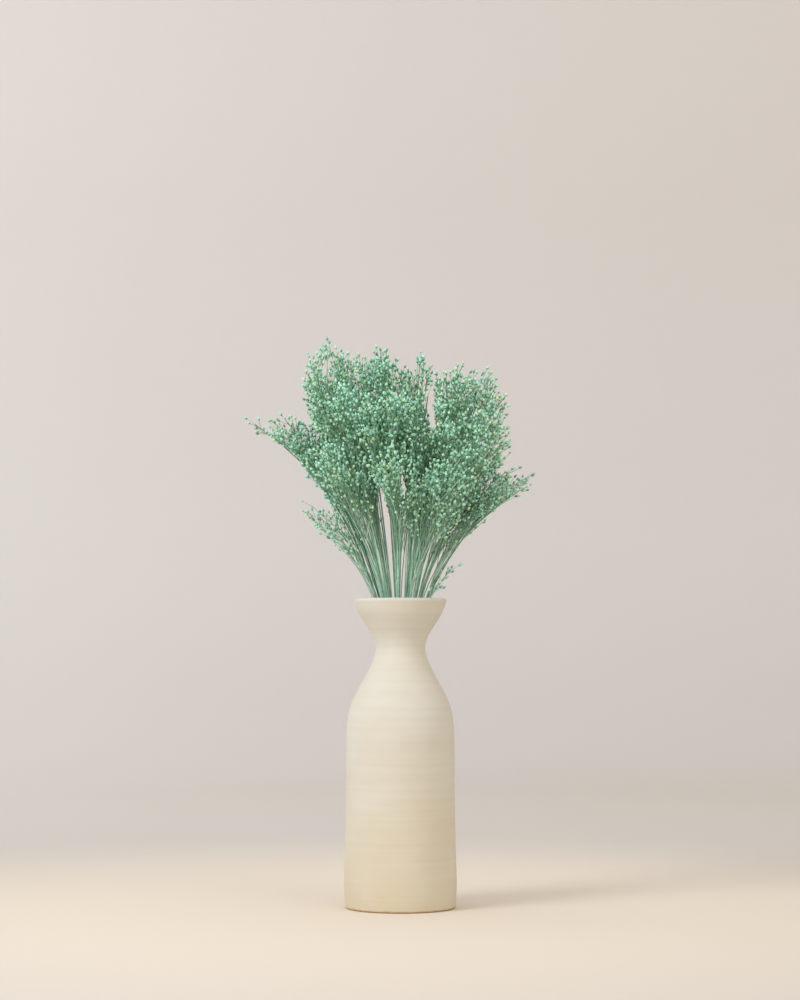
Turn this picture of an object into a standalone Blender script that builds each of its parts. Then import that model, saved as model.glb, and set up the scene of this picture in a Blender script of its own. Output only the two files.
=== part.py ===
"""A vase of dried broom blooms, in metres with +Z up and the origin at the middle of the vase's foot.

The vase is one turned stoneware piece. Each spray is one dried stem that stands on the vase's floor,
passes the neck and forks into branches and twigs, every one of which ends in a pointed seed capsule.

The stems never cross. A stem keeps one home in the bunch, its place in plan at the neck, and at every
height it lies that home times the spread of the bunch. A spray keeps to the column of air that is
nearer its own home than any other, so neighbouring sprays interlock without touching.
"""

import math
import random

import bmesh
import bpy
from mathutils import Vector

# The vase: (height, radius) up its outer wall, between the rounded foot and the rounded lip.
VASE_OUTLINE = (
    (0.003, 0.0536),
    (0.024, 0.0548),
    (0.060, 0.0538),
    (0.120, 0.0529),
    (0.158, 0.0529),
    (0.174, 0.0524),
    (0.187, 0.0508),
    (0.198, 0.0476),
    (0.210, 0.0421),
    (0.224, 0.0344),
    (0.237, 0.0282),
    (0.250, 0.0243),
    (0.262, 0.0266),
    (0.276, 0.0348),
    (0.2865, 0.0412),
    (0.297, 0.0450),
)
VASE_HEIGHT = 0.300
VASE_WALL = 0.005
VASE_FLOOR = 0.007
SHOULDER_HEIGHT = 0.170
VASE_SIDES = 32
FOOT_RADIUS = 0.0510
LIP_INSET = 0.0022
CORNER_STEPS = 2

# The bunch: how far from the axis a stem with a home of 1 lies, by its height over the neck.
NECK_HEIGHT = 0.250
NECK_SPREAD = 0.0122
FAN = 0.24
ARCH = 1.54
SPLAY = 0.075

# The sprays: the crown's x, y and z, half the head's width, and the head's depth below the crown.
SPRAYS = {
    "left_peak": (-0.072, -0.022, 0.553, 0.025, 0.110),
    "left_crown": (-0.042, 0.042, 0.545, 0.027, 0.100),
    "mid_crown": (-0.022, -0.030, 0.544, 0.028, 0.095),
    "tuft": (0.020, 0.008, 0.544, 0.022, 0.100),
    "left_edge": (-0.087, 0.022, 0.527, 0.026, 0.110),
    "left_front": (-0.062, -0.060, 0.508, 0.026, 0.095),
    "front": (-0.014, -0.078, 0.502, 0.027, 0.105),
    "front_right": (0.028, -0.062, 0.504, 0.025, 0.110),
    "right_crown": (0.060, -0.014, 0.531, 0.024, 0.100),
    "right_shoulder": (0.086, 0.012, 0.529, 0.022, 0.115),
    "right_front": (0.064, -0.074, 0.480, 0.025, 0.100),
    "right_edge": (0.102, -0.030, 0.499, 0.020, 0.105),
    "right_back": (0.070, 0.056, 0.507, 0.026, 0.110),
    "left_wing": (-0.146, -0.004, 0.474, 0.015, 0.018),
    "left_wing_back": (-0.120, 0.030, 0.486, 0.023, 0.048),
    "right_wing": (0.132, 0.002, 0.428, 0.016, 0.032),
    "right_low": (0.108, 0.036, 0.457, 0.022, 0.075),
    "left_low": (-0.095, -0.026, 0.400, 0.015, 0.045),
    "right_sprig": (0.056, -0.016, 0.338, 0.008, 0.020),
    "back_left": (-0.060, 0.084, 0.496, 0.026, 0.095),
    "back": (-0.004, 0.092, 0.504, 0.027, 0.105),
    "back_right": (0.046, 0.098, 0.478, 0.024, 0.090),
    "far_left": (-0.094, 0.080, 0.448, 0.021, 0.045),
    "front_left_low": (-0.076, -0.080, 0.450, 0.023, 0.045),
    "front_low": (-0.008, -0.108, 0.448, 0.024, 0.050),
    "front_right_low": (0.048, -0.102, 0.438, 0.022, 0.060),
}
HEAD_DOME = 0.8
HEAD_THINNING = 1.8
BRANCHES = 3
TWIGS = 17
SMALL_HEAD = 0.017
SMALL_BRANCHES = 2
SMALL_TWIGS = 7
LOWEST_FORK = 0.3
FORK_BELOW_HEAD = 0.06
FORK_STAGGER = 0.02
BRANCH_BEND = 1.3
TWIG_LENGTHS = (0.016, 0.030)
TWIG_STEEPNESS = 1.1
TWIG_CLEAR = 0.004

# Thicknesses are radii to the corners of the few-sided rings.
STEM_SIDES = 4
TWIG_SIDES = 3
STEM_FOOT_RADIUS = 0.0011
STEM_TIP_RADIUS = 0.0006
BRANCH_RADIUS = 0.0006
TWIG_RADIUS = 0.00042
ROOT_SHARE = 0.65
CAPSULE_RADIUS = 0.0021
CAPSULE_LENGTH = 0.0052
CAPSULE_BELLY = 0.42
CAPSULE_SPACING = 0.0068
CAPSULE_TRIES = 4000
CAPSULE_SIZES = (0.90, 1.06)

STEM_STEP = 0.062
STEP_GROWTH = 1.4
REST_GAP = 0.0003
COLUMN_MARGIN = 0.0026
SEED = 11

WARM_WHITE = (0.73, 0.65, 0.51)
SLIP_ROUGHNESS = 0.75
DRIED_GREEN = (0.20, 0.33, 0.22)
GREEN_TINTS = (0.88, 1.12)
DRIED_ROUGHNESS = 0.85
SHARP_ANGLE = math.radians(40)


def clear_scene():
    for item in list(bpy.data.objects):
        bpy.data.objects.remove(item)


def finish(name, color, roughness):
    material = bpy.data.materials.new(name)
    material.use_nodes = True
    shader = material.node_tree.nodes["Principled BSDF"]
    shader.inputs["Base Color"].default_value = (*color, 1)
    shader.inputs["Roughness"].default_value = roughness
    shader.inputs["Metallic"].default_value = 0
    return material


def new_object(name, shape):
    """An object from a bmesh, which is freed."""
    mesh = bpy.data.meshes.new(name)
    shape.to_mesh(mesh)
    shape.free()
    return bpy.data.objects.new(name, mesh)


# The vase


def corner(start, end, bulge):
    """Points strictly between two, along the quarter curve that leaves them towards the bulge."""
    shares = [step / (CORNER_STEPS + 1) for step in range(1, CORNER_STEPS + 1)]
    return [
        start * (1 - share) ** 2 + bulge * 2 * share * (1 - share) + end * share**2
        for share in shares
    ]


def inner_wall():
    """The outline moved in by the wall's thickness, from the floor up."""
    outer = [Vector((radius, height)) for height, radius in VASE_OUTLINE]
    inner = []
    for before, point, after in zip(outer, outer[1:], outer[2:]):
        along = (after - before).normalized()
        inner.append(point + Vector((-along.y, along.x)) * VASE_WALL)
    floor_edge = Vector((inner[0].x - VASE_FLOOR, VASE_FLOOR))
    return [floor_edge, inner[0]] + [point for point in inner if point.y > SHOULDER_HEIGHT]


def vase_profile():
    """(radius, height) from the middle of the inside floor, over the lip and down to the foot."""
    outer = [Vector((radius, height)) for height, radius in VASE_OUTLINE]
    inner = inner_wall()
    top = Vector((outer[-1].x - LIP_INSET, VASE_HEIGHT))
    lip_inside = Vector((outer[-1].x - VASE_WALL, outer[-1].y))
    foot = Vector((FOOT_RADIUS, 0))
    profile = [Vector((0, VASE_FLOOR)), *inner, lip_inside]
    profile += corner(lip_inside, top, Vector((lip_inside.x, top.y))) + [top]
    profile += corner(top, outer[-1], Vector((outer[-1].x, top.y)))
    profile += outer[::-1]
    profile += corner(outer[0], foot, Vector((outer[0].x, foot.y)))
    return [*profile, foot, Vector((0, 0))]


def make_vase():
    shape = bmesh.new()
    corners = [shape.verts.new((point.x, 0, point.y)) for point in vase_profile()]
    for pair in zip(corners, corners[1:]):
        shape.edges.new(pair)
    vase = new_object("vase", shape)
    bpy.context.scene.collection.objects.link(vase)
    turn = vase.modifiers.new("Turn", "SCREW")
    turn.steps = turn.render_steps = VASE_SIDES
    turn.use_merge_vertices = True
    turn.merge_threshold = 0.00001
    turn.use_smooth_shade = True
    vase.data.materials.append(finish("stoneware", WARM_WHITE, SLIP_ROUGHNESS))


# The bunch


def spread(lean, height):
    """Metres from the axis for each unit of a stem's home."""
    rise = height - NECK_HEIGHT
    if rise < 0:
        return NECK_SPREAD - SPLAY * rise
    return NECK_SPREAD + FAN * rise + ARCH * lean**1.5 * rise**2


def place(home, height):
    reach = spread(home.length, height)
    return Vector((home.x * reach, home.y * reach, height))


def home_of(x, y, z):
    """The home of the stem that passes this point, found by halving."""
    out = math.hypot(x, y)
    low, high = 0, 2
    for _ in range(40):
        lean = (low + high) / 2
        if lean * spread(lean, z) < out:
            low = lean
        else:
            high = lean
    return Vector((x, y)) * (lean / out)


HOMES = {name: home_of(*values[:3]) for name, values in SPRAYS.items()}


def clear_of_neighbours(name, home, height):
    """Whether a capsule here stays inside the spray's own column."""
    own = HOMES[name]
    for other in HOMES.values():
        if other is own:
            continue
        nearer = (home - other).length_squared - (home - own).length_squared
        border = nearer / (2 * (other - own).length)
        if border * spread(home.length, height) < COLUMN_MARGIN:
            return False
    return True


def capsule_places(name, count, draw):
    """(home, height) of each capsule in a spray, the crown's first, all well apart."""
    own = HOMES[name]
    top, width, depth = SPRAYS[name][2:]
    found = [(own, top)]
    for _ in range(CAPSULE_TRIES):
        if len(found) == count:
            break
        turn = draw.uniform(0, math.tau)
        out = width * math.sqrt(draw.random())
        offset = Vector((math.cos(turn), math.sin(turn))) * out / spread(own.length, top)
        fall = depth * draw.random() ** HEAD_THINNING
        height = top - HEAD_DOME * out**2 / width - fall
        here = place(own + offset, height)
        if not clear_of_neighbours(name, own + offset, height):
            continue
        if all((here - place(*other)).length > CAPSULE_SPACING for other in found):
            found.append((own + offset, height))
    return found


class Shoot:
    """A stem or branch: it starts at one home and height and leans over to another."""

    def __init__(self, home, low, end, high):
        self.low, self.high = low, high
        steps = max(2, round((high - low) / STEM_STEP))
        self.points = []
        for step in range(steps + 1):
            share = (step / steps) ** STEP_GROWTH
            height = low + (high - low) * share
            self.points.append(place(home.lerp(end, share**BRANCH_BEND), height))

    def at(self, height):
        """The point on its axis at this height, on the straight run between two rings."""
        for start, end in zip(self.points, self.points[1:]):
            if height <= end.z:
                return start.lerp(end, (height - start.z) / (end.z - start.z))
        return self.points[-1]


def tube(points, radii, sides, turn):
    """A closed tube of flat-sided rings. It narrows to a point where the last radius is 0."""
    shape = bmesh.new()
    rings = []
    for index, (point, radius) in enumerate(zip(points, radii)):
        if radius == 0:
            rings.append([shape.verts.new(point)] * sides)
            continue
        along = points[min(index + 1, len(points) - 1)] - points[max(index - 1, 0)]
        side = Vector((0, 1, 0)).cross(along).normalized()
        front = along.cross(side).normalized()
        angles = [turn + math.tau * step / sides for step in range(sides)]
        rings.append(
            [
                shape.verts.new(point + radius * (side * math.cos(a) + front * math.sin(a)))
                for a in angles
            ]
        )
    for low, high in zip(rings, rings[1:]):
        for step in range(sides):
            beside = (step + 1) % sides
            around = (low[step], low[beside], high[beside], high[step])
            shape.faces.new(tuple(dict.fromkeys(around)))
    shape.faces.new(rings[0][::-1])
    bmesh.ops.triangulate(shape, faces=shape.faces[:])
    return new_object("piece", shape)


def with_capsule(points, radii, sides, draw):
    """A shoot's tube that swells into a pointed seed capsule at its end."""
    along = (points[-1] - points[-2]).normalized()
    size = draw.uniform(*CAPSULE_SIZES)
    tip = points[-1] + along * CAPSULE_LENGTH * size
    belly = points[-1].lerp(tip, CAPSULE_BELLY)
    radii = [*radii, CAPSULE_RADIUS * size, 0]
    return tube([*points, belly, tip], radii, sides, draw.uniform(0, math.tau))


def twig_root(shoots, home, height, draw):
    """The nearest point on a shoot that a steep enough twig to this capsule can spring from."""
    tip = place(home, height)
    reach = height - draw.uniform(*TWIG_LENGTHS)
    roots = []
    for shoot in shoots:
        lowest = shoot.low + TWIG_CLEAR
        start = min(reach, shoot.high - TWIG_CLEAR)
        if start < lowest:
            continue
        sideways = (tip - shoot.at(start)).xy.length
        roots.append(shoot.at(max(lowest, min(start, height - TWIG_STEEPNESS * sideways))))
    return min(roots, key=lambda root: (tip - root).length)


def keep_outer_shell(mesh):
    """Drops a scrap left loose, or a hollow sealed inside, where twigs cross."""
    shape = bmesh.new()
    shape.from_mesh(mesh)
    waiting = set(shape.verts)
    shells = []
    while waiting:
        shell = set()
        edge = [waiting.pop()]
        while edge:
            vertex = edge.pop()
            shell.add(vertex)
            near = {link.other_vert(vertex) for link in vertex.link_edges} & waiting
            waiting -= near
            edge.extend(near)
        shells.append(shell)
    shells.sort(key=len)
    loose = [vertex for shell in shells[:-1] for vertex in shell]
    bmesh.ops.delete(shape, geom=loose, context="VERTS")
    shape.to_mesh(mesh)
    shape.free()


def fuse(name, pieces):
    """One closed solid from overlapping pieces, which are then removed."""
    helpers = bpy.data.collections.new(name + "_pieces")
    bpy.context.scene.collection.children.link(helpers)
    for piece in pieces[1:]:
        helpers.objects.link(piece)
    whole = pieces[0]
    bpy.context.scene.collection.objects.link(whole)
    union = whole.modifiers.new("Fuse", "BOOLEAN")
    union.operation = "UNION"
    union.solver = "EXACT"
    union.operand_type = "COLLECTION"
    union.collection = helpers
    graph = bpy.context.evaluated_depsgraph_get()
    mesh = bpy.data.meshes.new_from_object(whole.evaluated_get(graph))
    for piece in pieces:
        bpy.data.objects.remove(piece)
    bpy.data.collections.remove(helpers)
    keep_outer_shell(mesh)
    mesh.name = name
    spray = bpy.data.objects.new(name, mesh)
    bpy.context.scene.collection.objects.link(spray)
    return spray


def make_stem(name):
    """The spray's main stem from the vase's floor to its crown: (shoot, points, radii)."""
    own = HOMES[name]
    stem = Shoot(own, NECK_HEIGHT, own, SPRAYS[name][2])
    points = [place(own, VASE_FLOOR + REST_GAP), *stem.points]
    thinning = (STEM_FOOT_RADIUS - STEM_TIP_RADIUS) / (len(points) - 1)
    return stem, points, [STEM_FOOT_RADIUS - thinning * step for step in range(len(points))]


def make_branch(name, stem, home, height, draw):
    """A branch from the stem to the capsule at this home and height."""
    top, depth = SPRAYS[name][2], SPRAYS[name][4]
    lowest = NECK_HEIGHT + LOWEST_FORK * (height - NECK_HEIGHT)
    fork = max(lowest, top - depth - FORK_BELOW_HEAD) + draw.uniform(0, FORK_STAGGER)
    root = stem.at(min(fork, height - FORK_STAGGER))
    branch = Shoot(HOMES[name], root.z, home, height)
    branch.points[0] = root
    return branch


def make_spray(name, number):
    draw = random.Random(SEED * 100 + number)
    small = SPRAYS[name][3] < SMALL_HEAD
    branches = SMALL_BRANCHES if small else BRANCHES
    twigs = SMALL_TWIGS if small else TWIGS
    crown, *places = capsule_places(name, 1 + branches + twigs, draw)
    stem, points, radii = make_stem(name)
    pieces = [with_capsule(points, radii, STEM_SIDES, draw)]

    # The branches go to the capsules that lie furthest out round the head.
    places.sort(key=lambda spot: (spot[0] - crown[0]).length, reverse=True)
    shoots = [stem]
    for home, height in places[:branches]:
        branch = make_branch(name, stem, home, height, draw)
        shoots.append(branch)
        radii = [BRANCH_RADIUS] * len(branch.points)
        radii[0] *= ROOT_SHARE
        pieces.append(with_capsule(branch.points, radii, TWIG_SIDES, draw))
    for home, height in places[branches:]:
        ends = [twig_root(shoots, home, height, draw), place(home, height)]
        radii = [TWIG_RADIUS * ROOT_SHARE, TWIG_RADIUS]
        pieces.append(with_capsule(ends, radii, TWIG_SIDES, draw))

    spray = fuse("spray_" + name, pieces)
    tint = draw.uniform(*GREEN_TINTS)
    color = [channel * tint for channel in DRIED_GREEN]
    spray.data.materials.clear()
    spray.data.materials.append(finish("dried_" + name, color, DRIED_ROUGHNESS))
    spray.data.shade_smooth()
    spray.data.set_sharp_from_angle(angle=SHARP_ANGLE)


def main():
    clear_scene()
    make_vase()
    for number, name in enumerate(SPRAYS):
        make_spray(name, number)


main()
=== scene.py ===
# The looks of a vase of dried broom blooms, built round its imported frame. Metres, +Z up.

import math
import random

import bpy
import numpy as np
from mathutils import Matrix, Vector, noise


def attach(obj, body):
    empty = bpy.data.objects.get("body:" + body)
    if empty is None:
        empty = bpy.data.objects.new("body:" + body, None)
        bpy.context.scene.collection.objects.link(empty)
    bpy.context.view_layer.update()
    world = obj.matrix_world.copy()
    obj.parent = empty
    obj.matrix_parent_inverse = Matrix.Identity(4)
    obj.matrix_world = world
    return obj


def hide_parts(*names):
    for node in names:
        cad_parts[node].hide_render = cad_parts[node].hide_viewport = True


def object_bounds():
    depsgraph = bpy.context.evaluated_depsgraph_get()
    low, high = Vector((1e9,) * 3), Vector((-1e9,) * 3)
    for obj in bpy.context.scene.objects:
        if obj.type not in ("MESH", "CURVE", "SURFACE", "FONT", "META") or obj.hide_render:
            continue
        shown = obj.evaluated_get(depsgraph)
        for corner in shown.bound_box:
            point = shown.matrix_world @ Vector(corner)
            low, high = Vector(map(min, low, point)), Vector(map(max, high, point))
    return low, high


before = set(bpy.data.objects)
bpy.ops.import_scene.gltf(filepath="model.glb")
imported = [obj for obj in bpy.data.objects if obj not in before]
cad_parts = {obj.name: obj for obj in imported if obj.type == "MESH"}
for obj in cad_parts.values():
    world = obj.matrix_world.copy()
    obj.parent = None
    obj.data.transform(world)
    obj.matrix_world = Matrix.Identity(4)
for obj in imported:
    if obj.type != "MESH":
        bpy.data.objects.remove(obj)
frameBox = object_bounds()
mm = 0.001
print("frame loaded:", len(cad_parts), "nodes")


# Helpers for materials and meshes

def fromHex(color):
    # An sRGB hex colour as linear RGBA
    channels = [int(color[start:start + 2], 16) / 255 for start in (0, 2, 4)]
    return [c / 12.92 if c <= 0.04045 else ((c + 0.055) / 1.055) ** 2.4 for c in channels] + [1]


def perMetre(size):
    # A texture's scale for a pattern of this many millimetres
    return 1 / (size * mm)


def newMaterial(name):
    material = bpy.data.materials.new(name)
    material.use_nodes = True
    material.node_tree.nodes.clear()
    return material, material.node_tree


def addNode(tree, kind, values=None, links=None):
    # A node with its settings, its sockets' values and its links
    node = tree.nodes.new("ShaderNode" + kind)
    for name, value in (values or {}).items():
        if name == "stops":
            ramp = node.color_ramp
            while len(ramp.elements) < len(value):
                ramp.elements.new(1)
            for stop, (position, color) in zip(ramp.elements, value):
                stop.position = position
                stop.color = fromHex(color)
        elif isinstance(name, int) or name in node.inputs:
            node.inputs[name].default_value = value
        else:
            setattr(node, name, value)
    for name, source in (links or {}).items():
        tree.links.new(source, node.inputs[name])
    return node


def newMesh(name, points, faces, materials, slots=None):
    mesh = bpy.data.meshes.new(name)
    mesh.from_pydata(points, [], faces)
    for material in materials:
        mesh.materials.append(material)
    if slots is not None:
        mesh.polygons.foreach_set("material_index", slots)
    mesh.shade_smooth()
    mesh.update()
    piece = bpy.data.objects.new(name, mesh)
    bpy.context.scene.collection.objects.link(piece)
    return piece


def turned(profile, sides):
    # Points and faces of a profile of (radius, height) turned about Z; a radius of 0 is one point
    points = []
    faces = []
    rows = []
    for radius, height in profile:
        if radius == 0:
            rows.append([len(points)] * sides)
            points.append((0, 0, height))
            continue
        rows.append(list(range(len(points), len(points) + sides)))
        for step in range(sides):
            turn = math.tau * step / sides
            points.append((radius * math.cos(turn), radius * math.sin(turn), height))
    for lower, upper in zip(rows, rows[1:]):
        for step in range(sides):
            beside = (step + 1) % sides
            around = (lower[step], lower[beside], upper[beside], upper[step])
            faces.append(tuple(dict.fromkeys(around)))
    return points, faces


# The camera stands level with the vase's waist and looks slightly up, as in the photo.

photoView = {
    "lens": 85,  # mm, on the long side
    "sensor": 36,
    "distance": 2.3126,  # from the vase's axis
    "height": 0.2516,
    "aside": -0.0004,
    "lookUp": 3.587,  # degrees
}


def setCamera():
    lens = bpy.data.cameras.new("photoCamera")
    lens.lens = photoView["lens"]
    lens.sensor_width = photoView["sensor"]
    camera = bpy.data.objects.new("photoCamera", lens)
    camera.location = (photoView["aside"], -photoView["distance"], photoView["height"])
    camera.rotation_euler = (math.radians(90 + photoView["lookUp"]), 0, 0)
    bpy.context.scene.collection.objects.link(camera)
    bpy.context.scene.camera = camera


# The studio: a round seamless cove, one large soft key from the left and a weak fill

studio = {
    "radius": 3.2,
    "bend": 1.3,
    "wallHeight": 2.4,
    "bendSteps": 16,
    "sides": 96,
    # the cove's colours by the distance from the vase, in metres, out to the furthest: cream near the vase,
    # then a warm grey painted darker on the floor and low in the bend as painted shade and lighter up the wall
    # as painted light
    "colors": (
        (0.25, "ded2bf"), (0.9, "cbc3b8"), (1.7, "cdc4b8"),
        (2.45, "cdc5bc"), (3.05, "d1c9c0"), (3.6, "d6cdc3"),
    ),
    "worldColor": "f9faff",
    "worldStrength": 1.03,
    "lights": {
        # name: (place, what it faces, size, watts, colour)
        "key": ((-1.5, -1.3, 1.5), (0, 0, 0.3), 1.1, 31, "f2f6ff"),
        "fill": ((1.4, -1.9, 0.9), (0, 0, 0.4), 1.8, 11, "fff4e6"),
        "wash": ((-2.1, 0.9, 1.7), (-1.3, 3.1, 1.7), 0.9, 33, "d4e8ff"),
    },
}


def coveMaterial():
    # Matt emulsion, rolled on: an even dry coat without a sheen, cream on the floor and warm grey on the wall;
    # the grey is darker on the floor and low in the bend as painted shade and lighter up the wall as painted
    # light
    material, tree = newMaterial("matt emulsion cove")
    coords = addNode(tree, "TexCoord")
    length = addNode(tree, "VectorMath", {"operation": "LENGTH"}, {0: coords.outputs["Object"]})
    furthest = studio["colors"][-1][0]
    share = addNode(tree, "Math", {"operation": "DIVIDE", 1: furthest}, {0: length.outputs["Value"]})
    # painted shade and light: beyond the cream near the vase, the grey darkens on the floor and low in the
    # bend and lightens up the wall
    color = addNode(
        tree,
        "ValToRGB",
        {"stops": tuple((distance / furthest, tint) for distance, tint in studio["colors"])},
        {"Fac": share.outputs["Value"]},
    )
    color.color_ramp.interpolation = "EASE"
    shader = addNode(tree, "BsdfPrincipled", {"Roughness": 0.95}, {"Base Color": color.outputs["Color"]})
    shader.inputs["Specular IOR Level"].default_value = 0.1
    addNode(tree, "OutputMaterial", links={"Surface": shader.outputs["BSDF"]})
    return material


def makeStudio():
    radius, bend = studio["radius"], studio["bend"]
    profile = [(0, 0), (radius - bend, 0)]
    for step in range(1, studio["bendSteps"] + 1):
        turn = math.pi / 2 * step / studio["bendSteps"]
        profile.append((radius - bend + bend * math.sin(turn), bend - bend * math.cos(turn)))
    profile.append((radius, studio["wallHeight"]))
    points, faces = turned(profile, studio["sides"])
    newMesh("cove", points, faces, [coveMaterial()])
    for name, (at, towards, size, watts, color) in studio["lights"].items():
        lamp = bpy.data.lights.new(name, "AREA")
        lamp.shape = "DISK"
        lamp.size = size
        lamp.energy = watts
        lamp.color = fromHex(color)[:3]
        light = bpy.data.objects.new(name, lamp)
        light.location = at
        light.rotation_euler = (Vector(towards) - Vector(at)).to_track_quat("-Z", "Y").to_euler()
        light.visible_camera = False
        bpy.context.scene.collection.objects.link(light)
    world = bpy.data.worlds.new("studioAir")
    world.use_nodes = True
    sky = world.node_tree.nodes["Background"]
    sky.inputs["Color"].default_value = fromHex(studio["worldColor"])
    sky.inputs["Strength"].default_value = studio["worldStrength"]
    bpy.context.scene.world = world
    bpy.context.scene.view_settings.view_transform = "Standard"


# The vase: (height, radius) in mm up its outer wall, between the rounded foot and the rounded lip

vase = {
    "outline": (
        (3, 53.6), (24, 54.8), (60, 53.8), (120, 52.9), (158, 52.9), (174, 52.4),
        (187, 50.8), (198, 47.6), (210, 42.1), (224, 34.4), (237, 28.2), (250, 24.3),
        (262, 26.6), (276, 34.8), (286.5, 41.2), (297, 45.0),
    ),
    "height": 300,
    "wall": 5,
    "floor": 7,
    "shoulder": 170,  # the inside runs straight up to here
    "footRadius": 51,
    "lipInset": 2.2,
    "soleShare": 0.98,  # the foot's flat sole, as a share of its radius
    "cornerSteps": 7,
    "rowHeight": 1.1,
    "insideRowHeight": 4,
    "sides": 144,
    "ringPitch": 3.4,  # the rings that the fingers leave on the wheel
    "ringWander": 0.3,  # how far each ring drifts up and down round the wall
    "ringDepth": 0.04,
    "wobbleSize": 45,  # a hand-thrown wall is a little uneven
    "wobbleDepth": 0.09,
}


def smoothOutline(rowHeight):
    # (radius, height) on one smooth curve through the outline's points
    knots = [Vector((radius, height)) for height, radius in vase["outline"]]
    knots = [knots[0] * 2 - knots[1], *knots, knots[-1] * 2 - knots[-2]]
    curve = []
    for before, start, end, after in zip(knots, knots[1:], knots[2:], knots[3:]):
        span = end.y - start.y
        leaving = (end - before) * span / (end.y - before.y)
        arriving = (after - start) * span / (after.y - start.y)
        count = max(1, round(span / rowHeight))
        for step in range(count):
            s = step / count
            curve.append(
                start * (2 * s**3 - 3 * s**2 + 1)
                + leaving * (s**3 - 2 * s**2 + s)
                + end * (3 * s**2 - 2 * s**3)
                + arriving * (s**3 - s**2)
            )
    return [*curve, knots[-2]]


def corner(start, end, bulge):
    # Points from start up to, not with, end on the quarter curve that leaves them towards the bulge
    shares = [step / vase["cornerSteps"] for step in range(vase["cornerSteps"])]
    return [start * (1 - s) ** 2 + bulge * 2 * s * (1 - s) + end * s**2 for s in shares]


def vaseProfile():
    # (radius, height) in mm from the middle of the foot, up the outside, over the lip and down inside
    outer = smoothOutline(vase["rowHeight"])
    coarse = smoothOutline(vase["insideRowHeight"])
    foot = Vector((vase["footRadius"], 0))
    top = Vector((outer[-1].x - vase["lipInset"], vase["height"]))
    lipInside = Vector((outer[-1].x - vase["wall"], outer[-1].y))
    profile = [Vector((0, 0)), foot * vase["soleShare"]]
    profile += corner(foot, outer[0], Vector((outer[0].x, 0)))
    profile += outer[:-1]
    profile += corner(outer[-1], top, Vector((outer[-1].x, top.y)))
    profile += corner(top, lipInside, Vector((lipInside.x, top.y))) + [lipInside]
    for above, point, below in zip(coarse[:1:-1], coarse[-2:0:-1], coarse[-3::-1]):
        along = (above - below).normalized()
        inside = point + Vector((-along.y, along.x)) * vase["wall"]
        if inside.y > vase["shoulder"]:
            profile.append(inside)
    straight = profile[-1].x
    profile += [Vector((straight, vase["floor"] * 2)), Vector((straight - vase["floor"], vase["floor"]))]
    return [*profile, Vector((0, vase["floor"]))]


def throwingRings(points):
    # The wheel's fine ridges and the hand's slow unevenness, on the wall's radius
    moved = []
    for x, y, z in points:
        out = math.hypot(x, y)
        if out == 0 or z <= 0:
            moved.append((x, y, z))
            continue
        around = Vector((x, y, 0)) / out * vase["ringWander"]
        ridge = noise.noise(around + Vector((0, 0, z / vase["ringPitch"])), noise_basis="PERLIN_NEW")
        drift = noise.noise(Vector((x, y, z * 1.5)) / vase["wobbleSize"], noise_basis="PERLIN_NEW")
        share = (out + ridge * vase["ringDepth"] + drift * vase["wobbleDepth"]) / out
        moved.append((x * share, y * share, z))
    return moved


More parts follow.
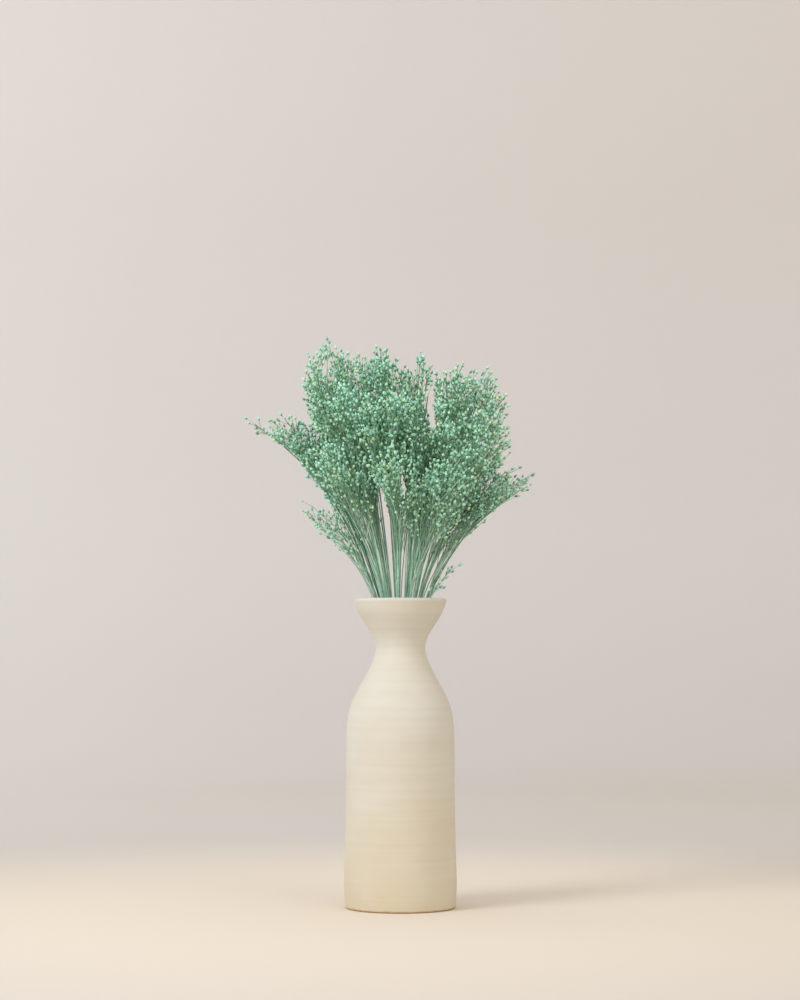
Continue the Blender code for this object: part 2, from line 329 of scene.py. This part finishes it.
def slipMaterial():
    # Stoneware under matt cream slip: thrown, brushed with slip on the wheel and fired unglazed.
    # The eye sees a dry chalky coat in fine level bands and bare clay at the foot; the coat is painted warmer
    # towards the foot, a painted warm light bounced up from the floor.
    material, tree = newMaterial("matt slip stoneware")
    coords = addNode(tree, "TexCoord").outputs["Object"]
    level = addNode(tree, "Mapping", {"Scale": (1, 1, 40)}, {"Vector": coords})  # draws spots out into bands
    bands = addNode(
        tree,
        "TexNoise",
        {"Scale": perMetre(150), "Detail": 3, "Roughness": 0.5},
        {"Vector": level.outputs["Vector"]},
    )
    clouds = addNode(tree, "TexNoise", {"Scale": perMetre(55), "Detail": 2}, {"Vector": coords})
    coat = addNode(
        tree,
        "ValToRGB",
        {"stops": ((0.30, "d3cfc1"), (0.50, "d4d1c4"), (0.70, "d6d3c7"))},
        {"Fac": bands.outputs["Fac"]},
    )
    warm = addNode(
        tree,
        "ValToRGB",
        {"stops": ((0.35, "fdf9f2"), (0.65, "ffffff"))},
        {"Fac": clouds.outputs["Fac"]},
    )
    tinted = addNode(
        tree,
        "MixRGB",
        {"blend_type": "MULTIPLY", "Fac": 1},
        {"Color1": coat.outputs["Color"], "Color2": warm.outputs["Color"]},
    )
    height = addNode(tree, "SeparateXYZ", links={"Vector": coords}).outputs["Z"]
    # painted light: a warmer, slightly darker tint towards the foot, standing in for warm light bounced up
    # from the floor
    bounceShare = addNode(
        tree,
        "MapRange",
        {"From Min": 0, "From Max": 140 * mm, "To Min": 1, "To Max": 0},
        {"Value": height},
    )
    bounceTinted = addNode(
        tree,
        "MixRGB",
        {"blend_type": "MULTIPLY", "Color2": fromHex("fff8eb")},
        {"Fac": bounceShare.outputs["Result"], "Color1": tinted.outputs["Color"]},
    )
    ragged = addNode(tree, "TexNoise", {"Scale": perMetre(6), "Detail": 3}, {"Vector": coords})
    edge = addNode(
        tree,
        "Math",
        {"operation": "MULTIPLY_ADD", 1: 1.6 * mm},
        {0: ragged.outputs["Fac"], 2: height},
    )
    bare = addNode(
        tree,
        "MapRange",
        {"From Min": 1.6 * mm, "From Max": 2.9 * mm, "To Min": 1, "To Max": 0},
        {"Value": edge.outputs["Value"]},
    )
    color = addNode(
        tree,
        "MixRGB",
        {"Color2": fromHex("bf9c6b")},
        {"Fac": bare.outputs["Result"], "Color1": bounceTinted.outputs["Color"]},
    )
    grain = addNode(tree, "TexNoise", {"Scale": perMetre(0.8), "Detail": 3}, {"Vector": coords})
    dry = addNode(
        tree,
        "MapRange",
        {"To Min": 0.68, "To Max": 0.86},
        {"Value": grain.outputs["Fac"]},
    )
    fine = addNode(tree, "Bump", {"Strength": 0.2, "Distance": 0.05 * mm}, {"Height": grain.outputs["Fac"]})
    shader = addNode(
        tree,
        "BsdfPrincipled",
        {"IOR": 1.5, "Specular IOR Level": 0.3},
        {
            "Base Color": color.outputs["Color"],
            "Roughness": dry.outputs["Result"],
            "Normal": fine.outputs["Normal"],
        },
    )
    addNode(tree, "OutputMaterial", links={"Surface": shader.outputs["BSDF"]})
    return material


def makeVase():
    points, faces = turned(vaseProfile(), vase["sides"])
    points = [tuple(c * mm for c in point) for point in throwingRings(points)]
    body = newMesh("thrown_vase", points, faces, [slipMaterial()])
    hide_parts("vase")
    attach(body, "root")


# The bunch: a stem keeps one home, its place in plan at the neck, and lies that home times the spread

bunch = {
    "neckHeight": 0.250,
    "neckSpread": 0.0122,
    "fan": 0.24,
    "arch": 1.54,
    "splay": 0.075,
    "stemFoot": 0.0073,  # just over the vase's floor
    "columnMargin": 0.0012,
    "seed": 11,
    # (x, z) in mm round the bunch as the front view shows it, from the mouth's left side to its right
    "outline": (
        (-27, 300), (-41, 328), (-54, 346), (-69, 348), (-86, 348), (-95, 361), (-107, 381), (-108, 397),
        (-100, 402), (-90, 391), (-82, 384), (-78, 391), (-74, 404), (-91, 418), (-99, 436),
        (-106, 445), (-128, 454), (-146, 455),
        (-156, 463), (-158, 479), (-150, 486), (-133, 487), (-117, 486), (-109, 480), (-99, 480),
        (-97, 486), (-95, 496),
        (-96, 511), (-95, 525), (-98, 533), (-94, 542), (-86, 551), (-76, 560), (-66, 559), (-58, 548),
        (-54, 542), (-42, 542), (-24, 547), (-14, 547), (-4, 537), (3, 528), (9, 527), (12, 521),
        (15, 532), (17, 545), (25, 546), (31, 536), (33, 528), (41, 527), (49, 522), (54, 526),
        (60, 535), (67, 530), (75, 531), (84, 526), (96, 523), (98, 511), (104, 506), (111, 499),
        (110, 489), (113, 479), (104, 474), (108, 466), (112, 454), (111, 441), (107, 434), (117, 434),
        (133, 437), (142, 424), (139, 402), (120, 399), (100, 394), (90, 384), (75, 367), (61, 353),
        (65, 348), (64, 330), (62, 314), (52, 302), (40, 300),
    ),
    # the (x, z) in mm under which the stalks are bare, and how ragged that edge is
    "bareBelow": (
        (-150, 440), (-100, 430), (-60, 406), (0, 392), (40, 382), (70, 364), (100, 380), (150, 395),
    ),
    "ragged": 9,
    "strays": ("left_low", "right_sprig"),  # the low sprays that bear capsules there all the same
    "rimHeight": 0.3,  # the outline says nothing of what lies lower
    # the (x, z) ends and half the width, in mm, of the partings between the heads
    "partings": ((27, 500, 33, 468, 2.9), (-19, 404, -9, 340, 3.3), (2, 418, 4, 398, 1.7)),
}

# name: the crown's x, y and z, half the head's width, and the head's depth below the crown
sprays = {
    "left_peak": (-0.072, -0.022, 0.553, 0.025, 0.110),
    "left_crown": (-0.042, 0.042, 0.545, 0.027, 0.100),
    "mid_crown": (-0.022, -0.030, 0.544, 0.028, 0.095),
    "tuft": (0.020, 0.008, 0.544, 0.022, 0.100),
    "left_edge": (-0.087, 0.022, 0.527, 0.026, 0.110),
    "left_front": (-0.062, -0.060, 0.508, 0.026, 0.095),
    "front": (-0.014, -0.078, 0.502, 0.027, 0.105),
    "front_right": (0.028, -0.062, 0.504, 0.025, 0.110),
    "right_crown": (0.060, -0.014, 0.531, 0.024, 0.100),
    "right_shoulder": (0.086, 0.012, 0.529, 0.022, 0.115),
    "right_front": (0.064, -0.074, 0.480, 0.025, 0.100),
    "right_edge": (0.102, -0.030, 0.499, 0.020, 0.105),
    "right_back": (0.070, 0.056, 0.507, 0.026, 0.110),
    "left_wing": (-0.146, -0.004, 0.474, 0.015, 0.018),
    "left_wing_back": (-0.120, 0.030, 0.486, 0.023, 0.048),
    "right_wing": (0.132, 0.002, 0.428, 0.016, 0.032),
    "right_low": (0.108, 0.036, 0.457, 0.022, 0.075),
    "left_low": (-0.095, -0.026, 0.400, 0.015, 0.045),
    "right_sprig": (0.056, -0.016, 0.338, 0.008, 0.020),
    "back_left": (-0.060, 0.084, 0.496, 0.026, 0.095),
    "back": (-0.004, 0.092, 0.504, 0.027, 0.105),
    "back_right": (0.046, 0.098, 0.478, 0.024, 0.090),
    "far_left": (-0.094, 0.080, 0.448, 0.021, 0.045),
    "front_left_low": (-0.076, -0.080, 0.450, 0.023, 0.045),
    "front_low": (-0.008, -0.108, 0.448, 0.024, 0.050),
    "front_right_low": (0.048, -0.102, 0.438, 0.022, 0.060),
}

growth = {
    "headDome": 0.8,
    "headThinning": 1.45,
    "headWidth": 1.35,  # a full head next to the frame's few capsules
    "sprigDensity": 7.2e4,  # for each head's volume in m3 to the power 2/3, its skin
    "moreSprigs": {"left_wing": 34, "left_wing_back": 22, "right_wing": 40, "right_low": 12},
    "sprigSpacing": 0.0052,
    "widestHome": 1.10,
    "widestStep": 0.15,  # or this much past the home of its own stem
    "sideStemSpacing": 0.010,  # a stem for each of these in the head's half width
    "sideStemForks": (0.205, 0.262),
    "shortestSideStem": 0.05,
    "sprigsPerBranch": 5,
    "sprigTries": 40,  # for each sprig
    "branchForks": (0.05, 0.12),  # below the branch's tip
    "lowestFork": 0.29,
    "branchBend": 1.2,
    "farBend": 3.2,  # more bend for each unit of home that a branch reaches aside
    "gatherFrom": 0.5,  # stems that lean more than this stay closer together low down
    "gather": 0.32,
    "gatherBend": 3,
    "sway": 0.035,  # how far a stem strays from its straight way, as a home
    "twigLengths": (0.022, 0.050),
    "twigSteepness": 1.8,
    "twigClear": 0.004,
    "pedicels": (4, 7),
    "pedicelTurn": 2.4,  # radians from one to the next, the golden angle
    "pedicelLengths": (0.004, 0.010),
    "pedicelTilt": (10, 46),  # degrees, and less for the first, which goes on straight
    "firstTilt": 12,
    "pedicelLift": 0.35,  # how far its capsule turns back up the shoot
    "pedicelSag": 0.04,
    "pedicelStagger": 0.011,
    "capsuleSpacing": 0.0026,
    "crownDrop": 0.011,  # the pedicels reach on from here
    "tipDrops": {"left_wing": 0.0035},
    "flowerShare": 0.0018,
    "tone": 0.46,  # 0 is the yellowest dye and 1 the bluest
    "toneVaries": 0.16,
    "crownTone": 0.08,  # the crowns took more of the dye than the undersides
}

thickness = {
    # radii
    "stemFoot": 0.00088,
    "stemTip": 0.0005,
    "sideStem": 0.00052,
    "branch": 0.00046,
    "twig": 0.00034,
    "pedicel": 0.00024,
}

# the length of a tube's facets
facetLengths = {
    "stemFoot": 0.12,
    "stem": 0.018,
    "branch": 0.02,
    "twig": 0.012,
}

capsule = {
    "radius": 0.00132,
    "length": 0.0038,
    "sizes": (0.75, 1.2),
    "sides": 6,
    # share of the length: share of the radius, from the calyx to the beak
    "form": ((0, 0.3), (0.12, 0.66), (0.38, 1.0), (0.64, 0.86), (0.85, 0.38), (1, 0)),
}

flower = {
    "petals": 5,
    "petalLength": 0.0042,
    "petalWidth": 0.0011,
    "petalThickness": 0.00025,
    "openTo": 68,  # degrees from the stalk
    "eye": (0.0007, 0.0007, 0.0012),
}


def spread(lean, height):
    rise = height - bunch["neckHeight"]
    if rise < 0:
        return bunch["neckSpread"] - bunch["splay"] * rise
    return bunch["neckSpread"] + bunch["fan"] * rise + bunch["arch"] * lean**1.5 * rise**2


def place(home, height):
    reach = spread(home.length, height)
    return Vector((home.x * reach, home.y * reach, height))


def homeOf(x, y, z):
    # The home of the stem that passes this point, found by halving
    out = math.hypot(x, y)
    low, high = 0, 2
    for _ in range(40):
        lean = (low + high) / 2
        if lean * spread(lean, z) < out:
            low = lean
        else:
            high = lean
    return Vector((x, y)) * (lean / out)


homes = {name: homeOf(*values[:3]) for name, values in sprays.items()}


def inOwnColumn(name, home, height):
    own = homes[name]
    for other in homes.values():
        if other is own:
            continue
        nearer = (home - other).length_squared - (home - own).length_squared
        border = nearer / (2 * (other - own).length)
        if border * spread(home.length, height) < bunch["columnMargin"]:
            return False
    return True


def fromFront(point):
    # A point's (x, z) in mm as the front view shows it, in the plane through the vase's axis
    scale = photoView["distance"] / (photoView["distance"] + point.y)
    level = photoView["height"]
    return point.x * scale / mm, (level + (point.z - level) * scale) / mm


def inOutline(point):
    x, z = fromFront(point)
    inside = False
    corners = bunch["outline"]
    for (startX, startZ), (endX, endZ) in zip(corners, corners[1:] + corners[:1]):
        if (startZ > z) != (endZ > z):
            if x < startX + (endX - startX) * (z - startZ) / (endZ - startZ):
                inside = not inside
    return inside


def inFrameBox(point):
    # Whether a capsule here stays inside the frame's own box
    room = capsule["length"]
    return all(low + room < c < high - room for low, c, high in zip(frameBox[0], point, frameBox[1]))


def inParting(point):
    x, z = fromFront(point)
    for startX, startZ, endX, endZ, half in bunch["partings"]:
        along = Vector((endX - startX, endZ - startZ))
        offset = Vector((x - startX, z - startZ))
        share = min(1, max(0, offset.dot(along) / along.length_squared))
        if (offset - along * share).length < half:
            return True
    return False


def onClearWay(points):
    return all(inOutline(point) and not inParting(point) for point in points)


def onBareStalks(name, point, draw):
    # Whether this is too low for capsules, under a ragged edge
    if name in bunch["strays"]:
        return False
    x, z = fromFront(point)
    return z + draw.gauss(0, bunch["ragged"]) < np.interp(x, *zip(*bunch["bareBelow"]))


class Shoot:
    # A stem, branch or twig, from one home and height to another on a smooth line

    def __init__(self, home, low, end, high, bend=1.0, sway=Vector((0, 0))):
        self.home, self.low, self.end, self.high, self.bend = home, low, end, high, bend
        self.sway = sway

    def homeAt(self, height):
        share = max(0, height - self.low) / (self.high - self.low)
        return self.home.lerp(self.end, share**self.bend) + self.sway * math.sin(math.pi * share)

    def at(self, height):
        return place(self.homeAt(height), height)

    def points(self, step):
        count = max(2, round((self.high - self.low) / step))
        return [self.at(self.low + (self.high - self.low) * i / count) for i in range(count + 1)]


class Cuttings:
    # The points and faces of one spray, gathered piece by piece

    def __init__(self):
        self.points, self.faces, self.slots, self.tones, self.shares = [], [], [], [], []

    def add(self, points, faces, slot, tone, shares):
        first = len(self.points)
        self.points += points
        self.faces += [tuple(first + corner for corner in face) for face in faces]
        self.slots += [slot] * len(faces)
        self.tones += [tone] * len(points)
        self.shares += shares


def tube(cuttings, line, radii, sides, tone, turn):
    # A closed tube along a line of points
    points = []
    for index, (point, radius) in enumerate(zip(line, radii)):
        along = line[min(index + 1, len(line) - 1)] - line[max(index - 1, 0)]
        side = Vector((0, 1, 0)).cross(along).normalized()
        front = along.cross(side).normalized()
        for step in range(sides):
            angle = turn + math.tau * step / sides
            points.append(tuple(point + radius * (side * math.cos(angle) + front * math.sin(angle))))
    faces = [tuple(range(sides))[::-1]]
    for ring in range(len(line) - 1):
        low, high = ring * sides, (ring + 1) * sides
        for step in range(sides):
            beside = (step + 1) % sides
            faces.append((low + step, low + beside, high + beside, high + step))
    last = (len(line) - 1) * sides
    faces.append(tuple(range(last, last + sides)))
    shares = [index / (len(line) - 1) for index in range(len(line)) for _ in range(sides)]
    cuttings.add(points, faces, 0, tone, shares)


def podShape():
    # A seed capsule of unit length and radius: points and faces
    profile = [(radius, along) for along, radius in capsule["form"]]
    points, faces = turned([(0, 0), *profile], capsule["sides"])
    return np.array(points), faces


podPoints, podFaces = podShape()


def pod(cuttings, root, along, size, turn, slot, tone):
    # A capsule or, if flattened, a petal: size is (width, thickness, length)
    side = along.orthogonal().normalized()
    front = along.cross(side).normalized()
    wide = side * math.cos(turn) + front * math.sin(turn)
    deep = along.cross(wide)
    axes = np.array([wide * size[0], deep * size[1], along * size[2]])
    points = podPoints @ axes + np.array(root)
    cuttings.add([tuple(p) for p in points.tolist()], podFaces, slot, tone, podPoints[:, 2].tolist())


def starFlower(cuttings, root, along, draw):
    # Five narrow petals round a small eye
    side = along.orthogonal().normalized()
    front = along.cross(side).normalized()
    opening = math.radians(flower["openTo"])
    size = (flower["petalWidth"], flower["petalThickness"], flower["petalLength"])
    for step in range(flower["petals"]):
        turn = math.tau * step / flower["petals"]
        outward = side * math.cos(turn) + front * math.sin(turn)
        petal = (along * math.cos(opening) + outward * math.sin(opening)).normalized()
        across = petal.cross(along).normalized()
        own = petal.orthogonal().normalized()
        angle = math.atan2(across.dot(petal.cross(own)), across.dot(own))
        pod(cuttings, root, petal, size, angle, 2, draw.random())
    pod(cuttings, root, along, flower["eye"], 0, 1, 0.1)


taken = {}


def freeSpot(point):
    # Whether no other capsule is too near; a free spot is then taken
    size = growth["capsuleSpacing"]
    cell = tuple(math.floor(c / size) for c in point)
    for dx in (-1, 0, 1):
        for dy in (-1, 0, 1):
            for dz in (-1, 0, 1):
                for other in taken.get((cell[0] + dx, cell[1] + dy, cell[2] + dz), ()):
                    if (other - point).length < size:
                        return False
    taken.setdefault(cell, []).append(point)
    return True


def sprigPlaces(name, draw):
    # (home, height) of each sprig in a spray beside the crown's own, all well apart
    own = homes[name]
    top, width, depth = sprays[name][2:]
    skin = (width**2 * depth) ** (2 / 3)
    count = round(growth["sprigDensity"] * skin) + growth["moreSprigs"].get(name, 0)
    reach = width * growth["headWidth"]
    found = [(own, top)]
    for _ in range(count * growth["sprigTries"]):
        if len(found) == count:
            break
        turn = draw.uniform(0, math.tau)
        out = reach * math.sqrt(draw.random())
        offset = Vector((math.cos(turn), math.sin(turn))) * out / spread(own.length, top)
        fall = depth * draw.random() ** growth["headThinning"]
        height = top - growth["headDome"] * out**2 / width - fall
        if (own + offset).length > max(growth["widestHome"], own.length + growth["widestStep"]):
            continue
        if not inOwnColumn(name, own + offset, height):
            continue
        here = place(own + offset, height)
        if inParting(here) or not inOutline(here) or onBareStalks(name, here, draw):
            continue
        if all((here - place(*other)).length > growth["sprigSpacing"] for other in found):
            found.append((own + offset, height))
    return found[1:]


def twigRoot(shoots, home, height, draw):
    # The nearest (home, height) on a shoot that a steep enough twig to this sprig can spring from
    tip = place(home, height)
    reach = height - draw.uniform(*growth["twigLengths"])
    best = None
    for shoot in shoots:
        lowest = shoot.low + growth["twigClear"]
        start = min(reach, shoot.high - growth["twigClear"])
        if start < lowest:
            continue
        sideways = (tip - shoot.at(start)).xy.length
        level = max(lowest, min(start, height - growth["twigSteepness"] * sideways))
        gap = (tip - shoot.at(level)).length
        if best is None or gap < best[0]:
            best = (gap, shoot.homeAt(level), level)
    return best[1:]


def addSprig(cuttings, shoot, top, draw):
    # Pedicels that spread from the last stretch of a shoot, each with its capsule
    count = draw.randint(*growth["pedicels"])
    turn = draw.uniform(0, math.tau)
    ripe = draw.gauss(0, growth["toneVaries"])
    for number in range(count):
        height = shoot.high - (growth["pedicelStagger"] * draw.random() if number else 0)
        root = shoot.at(height)
        along = (shoot.at(height) - shoot.at(height - 0.002)).normalized()
        turn += growth["pedicelTurn"]
        tilts = growth["pedicelTilt"] if number else (0, growth["firstTilt"])
        tilt = math.radians(draw.uniform(*tilts))
        side = along.orthogonal().normalized()
        front = along.cross(side)
        outward = side * math.cos(turn) + front * math.sin(turn)
        way = (along * math.cos(tilt) + outward * math.sin(tilt)).normalized()
        length = draw.uniform(*growth["pedicelLengths"])
        if number == 0:
            length = growth["pedicelLengths"][1]
        end = root + way * length
        if inParting(end) or not inOutline(end) or not inFrameBox(end) or not freeSpot(end):
            continue
        tip = (way + along * growth["pedicelLift"]).normalized()
        middle = root + way * length * 0.5 - tip * length * growth["pedicelSag"]
        crownness = max(-1, min(1, (end.z - top + 0.03) / 0.05))
        tone = growth["tone"] + ripe + draw.gauss(0, growth["toneVaries"]) + growth["crownTone"] * crownness
        tone = min(1, max(0, tone))
        radius = thickness["pedicel"]
        tube(cuttings, [root, middle, end], [radius * 1.15, radius, radius], 3, tone, turn)
        if draw.random() < growth["flowerShare"]:
            starFlower(cuttings, end, tip, draw)
            continue
        scale = draw.uniform(*capsule["sizes"])
        size = (capsule["radius"] * scale, capsule["radius"] * scale, capsule["length"] * scale)
        pod(cuttings, end - tip * 0.0002, tip, size, draw.uniform(0, math.tau), 1, tone)


def growShoot(cuttings, shoot, radii, sides, step, draw):
    # A shoot's own tube, from its first radius to its last
    line = shoot.points(step)
    first, last = radii
    count = len(line) - 1
    tube(
        cuttings,
        line,
        [first + (last - first) * i / count for i in range(count + 1)],
        sides,
        min(1, max(0, draw.gauss(0.5, 0.2))),
        draw.uniform(0, math.tau),
    )


def makeSpray(name, number, materials):
    draw = random.Random(bunch["seed"] * 100 + number)
    own, top = homes[name], sprays[name][2]
    places = sprigPlaces(name, draw)
    draw.shuffle(places)
    cuttings = Cuttings()

    gathered = own * (1 - growth["gather"] * max(0, own.length - growth["gatherFrom"]))
    tip = top - growth["tipDrops"].get(name, growth["crownDrop"])
    stem = Shoot(gathered, bunch["neckHeight"], own, tip, growth["gatherBend"])
    below = Shoot(own, bunch["stemFoot"], gathered, bunch["neckHeight"])
    growShoot(cuttings, below, (thickness["stemFoot"],) * 2, 5, facetLengths["stemFoot"], draw)
    stemRadii = (thickness["stemFoot"], thickness["stemTip"])
    growShoot(cuttings, stem, stemRadii, 5, facetLengths["stem"], draw)
    shoots = [stem]

    sideStems = round(sprays[name][3] / growth["sideStemSpacing"])
    branches = len(places) // growth["sprigsPerBranch"]
    rest = []
    for home, height in places:
        grown = len(shoots) - 1
        if grown == sideStems + branches:
            rest.append((home, height))
            continue
        high = height - growth["crownDrop"]
        if grown < sideStems:
            low = min(draw.uniform(*growth["sideStemForks"]), high - growth["shortestSideStem"])
            radii = (thickness["sideStem"], thickness["branch"])
        else:
            low = max(growth["lowestFork"], high - draw.uniform(*growth["branchForks"]))
            radii = (thickness["branch"], thickness["twig"])
        start = stem.homeAt(low)
        sway = Vector((draw.gauss(0, growth["sway"]), draw.gauss(0, growth["sway"])))
        bend = growth["branchBend"] + growth["farBend"] * (home - start).length
        branch = Shoot(start, low, home, high, bend, sway)
        if not onClearWay(point for point in branch.points(0.01) if point.z > bunch["rimHeight"]):
            rest.append((home, height))
            continue
        growShoot(cuttings, branch, radii, 4, facetLengths["branch"], draw)
        shoots.append(branch)

    for home, height in sorted(rest, key=lambda spot: spot[1], reverse=True):
        high = height - growth["crownDrop"]
        rootHome, low = twigRoot(shoots, home, high, draw)
        twig = Shoot(rootHome, low, home, high)
        if not onClearWay(twig.points(0.006)):
            continue
        growShoot(cuttings, twig, (thickness["twig"], thickness["pedicel"]), 3, facetLengths["twig"], draw)
        shoots.append(twig)

    for shoot in shoots:
        addSprig(cuttings, shoot, top, draw)

    piece = newMesh("dried_" + name, cuttings.points, cuttings.faces, materials, cuttings.slots)
    for label, values in (("tone", cuttings.tones), ("share", cuttings.shares)):
        piece.data.attributes.new(label, "FLOAT", "POINT").data.foreach_set("value", values)
    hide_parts("spray_" + name)
    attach(piece, "root")
    return len(cuttings.faces)


def stemMaterial():
    # Dried broom stems, dip-dyed blue-green: thin woody stalks with a dull waxy skin.
    # The dye is bluest low down; up in the heads the stalks turn greener, letting the straw show, and darker,
    # and that darkness is painted shade among the capsules.
    material, tree = newMaterial("dyed dried stalks")
    coords = addNode(tree, "TexCoord").outputs["Object"]
    tone = addNode(tree, "Attribute", {"attribute_name": "tone"}).outputs["Fac"]
    height = addNode(tree, "SeparateXYZ", links={"Vector": coords}).outputs["Z"]
    low = addNode(
        tree,
        "ValToRGB",
        {"stops": ((0.1, "74a890"), (0.5, "b4e0cc"), (0.9, "dcf6ea"))},
        {"Fac": tone},
    )
    # painted shade: the stalks up in the heads take this darker ramp, standing in for the shade among the
    # capsules
    high = addNode(
        tree,
        "ValToRGB",
        {"stops": ((0.1, "548263"), (0.5, "88b898"), (0.9, "bce0b4"))},
        {"Fac": tone},
    )
    # blends from the stalks' own colour low down to the darker painted-shade colour in the heads
    rise = addNode(
        tree,
        "MapRange",
        {"From Min": 0.33, "From Max": 0.46},
        {"Value": height},
    )
    color = addNode(
        tree,
        "MixRGB",
        links={
            "Fac": rise.outputs["Result"],
            "Color1": low.outputs["Color"],
            "Color2": high.outputs["Color"],
        },
    )
    streaks = addNode(tree, "TexNoise", {"Scale": perMetre(5), "Detail": 3}, {"Vector": coords})
    worn = addNode(
        tree,
        "ValToRGB",
        {"stops": ((0.35, "c9cdb6"), (0.6, "ffffff"))},
        {"Fac": streaks.outputs["Fac"]},
    )
    final = addNode(
        tree,
        "MixRGB",
        {"blend_type": "MULTIPLY", "Fac": 0.6},
        {"Color1": color.outputs["Color"], "Color2": worn.outputs["Color"]},
    )
    shader = addNode(
        tree,
        "BsdfPrincipled",
        {"Roughness": 0.6, "Specular IOR Level": 0.35},
        {"Base Color": final.outputs["Color"]},
    )
    addNode(tree, "OutputMaterial", links={"Surface": shader.outputs["BSDF"]})
    return material


def capsuleMaterial():
    # Dried seed capsules, dip-dyed: thin papery husks that take the dye unevenly, with a soft sheen.
    # The eye sees yellow-green to turquoise beads, pale at the beak; the darkening at the calyx is painted
    # shade where each capsule meets its stalk among the others.
    material, tree = newMaterial("dyed dried husks")
    coords = addNode(tree, "TexCoord").outputs["Object"]
    tone = addNode(tree, "Attribute", {"attribute_name": "tone"}).outputs["Fac"]
    share = addNode(tree, "Attribute", {"attribute_name": "share"}).outputs["Fac"]
    dye = addNode(
        tree,
        "ValToRGB",
        {
            "stops": (
                (0.0, "d0eebc"), (0.16, "c6f0ca"), (0.34, "c0f2d6"),
                (0.55, "bef4de"), (0.75, "bcf6e8"), (1.0, "c6faf6"),
            )
        },
        {"Fac": tone},
    )
    # painted shade: each capsule is darkened towards its base by the calyx, standing in for the shade that
    # falls among the capsules
    along = addNode(
        tree,
        "ValToRGB",
        {"stops": ((0.0, "50705a"), (0.16, "c0d6c4"), (0.38, "ffffff"), (1.0, "f8fffa"))},
        {"Fac": share},
    )
    baseShaded = addNode(
        tree,
        "MixRGB",
        {"blend_type": "MULTIPLY", "Fac": 1},
        {"Color1": dye.outputs["Color"], "Color2": along.outputs["Color"]},
    )
    chance = addNode(tree, "TexWhiteNoise", {"noise_dimensions": "1D"}, {"W": tone})
    age = addNode(
        tree,
        "ValToRGB",
        {"stops": ((0.0, "6c8c76"), (0.2, "d0e0d4"), (0.45, "ffffff"))},
        {"Fac": chance.outputs["Value"]},
    )
    shaded = addNode(
        tree,
        "MixRGB",
        {"blend_type": "MULTIPLY", "Fac": 1},
        {"Color1": baseShaded.outputs["Color"], "Color2": age.outputs["Color"]},
    )
    specks = addNode(tree, "TexNoise", {"Scale": perMetre(1.2), "Detail": 2}, {"Vector": coords})
    mottle = addNode(
        tree,
        "ValToRGB",
        {"stops": ((0.35, "c4c8b4"), (0.6, "ffffff"))},
        {"Fac": specks.outputs["Fac"]},
    )
    color = addNode(
        tree,
        "MixRGB",
        {"blend_type": "MULTIPLY", "Fac": 0.4},
        {"Color1": shaded.outputs["Color"], "Color2": mottle.outputs["Color"]},
    )
    shader = addNode(
        tree,
        "BsdfPrincipled",
        {"Roughness": 0.5, "Specular IOR Level": 0.4},
        {"Base Color": color.outputs["Color"]},
    )
    addNode(tree, "OutputMaterial", links={"Surface": shader.outputs["BSDF"]})
    return material


def petalMaterial():
    # Dried petals: thin and papery, pale blue from the same dye
    material, tree = newMaterial("dyed dried petals")
    share = addNode(tree, "Attribute", {"attribute_name": "share"}).outputs["Fac"]
    color = addNode(
        tree,
        "ValToRGB",
        {"stops": ((0.0, "c9d8b0"), (0.3, "bfe3e2"), (1.0, "d8f0f4"))},
        {"Fac": share},
    )
    shader = addNode(
        tree,
        "BsdfPrincipled",
        {"Roughness": 0.7, "Specular IOR Level": 0.25},
        {"Base Color": color.outputs["Color"]},
    )
    addNode(tree, "OutputMaterial", links={"Surface": shader.outputs["BSDF"]})
    return material


setCamera()
makeStudio()
print("camera and studio set")
makeVase()
print("vase turned")
materials = [stemMaterial(), capsuleMaterial(), petalMaterial()]
faceCount = 0
for number, name in enumerate(sprays):
    faceCount += makeSpray(name, number, materials)
print("sprays grown:", faceCount, "faces,", sum(map(len, taken.values())), "capsules")
